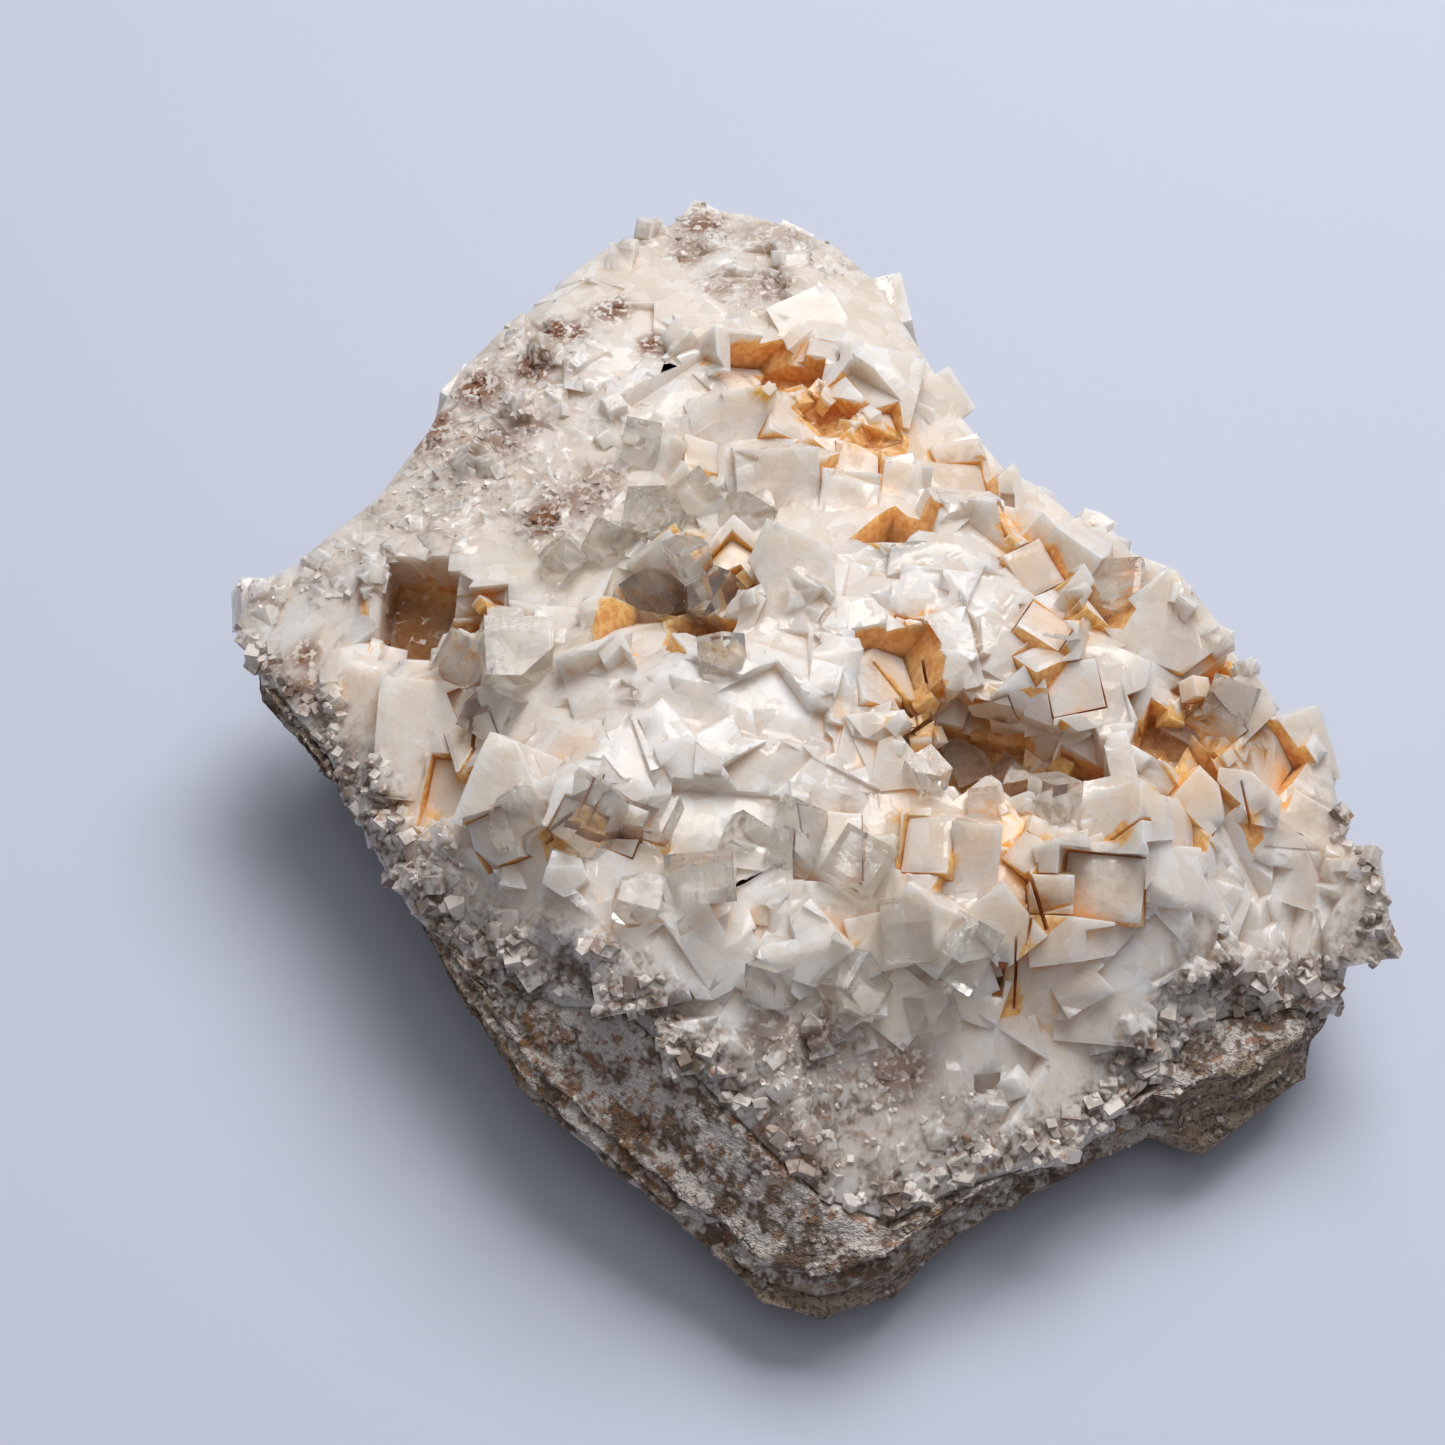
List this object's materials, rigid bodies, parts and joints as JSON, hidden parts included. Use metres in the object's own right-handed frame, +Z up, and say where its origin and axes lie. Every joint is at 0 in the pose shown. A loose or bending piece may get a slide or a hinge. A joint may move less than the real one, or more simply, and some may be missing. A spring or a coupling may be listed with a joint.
{
  "type": "fluorite specimen",
  "caption": "Hand-sized mineral specimen: a crust of intergrown milky and clear fluorite cubes with angular pockets, on a thin slab of layered brown host rock.",
  "frame": {"origin": "middle of the footprint, on the plane that the stone rests on", "axes": "+Z up through the crystals, +Y along the slab towards its narrow peak, +X towards the end with the block crystal"},
  "size_m": [0.1076, 0.1186, 0.0387],
  "materials": {
    "host_rock": "grainy grey-brown rock in thin layers, with pale grains and rust stains",
    "fluorite": "glassy crystal faces, milky white to clear, with cream tints and orange iron stain in the joints and pockets"
  },
  "bodies": {
    "root": {"host_rock": "host_rock", "fluorite_crust": "fluorite"}
  },
  "joints": []
}
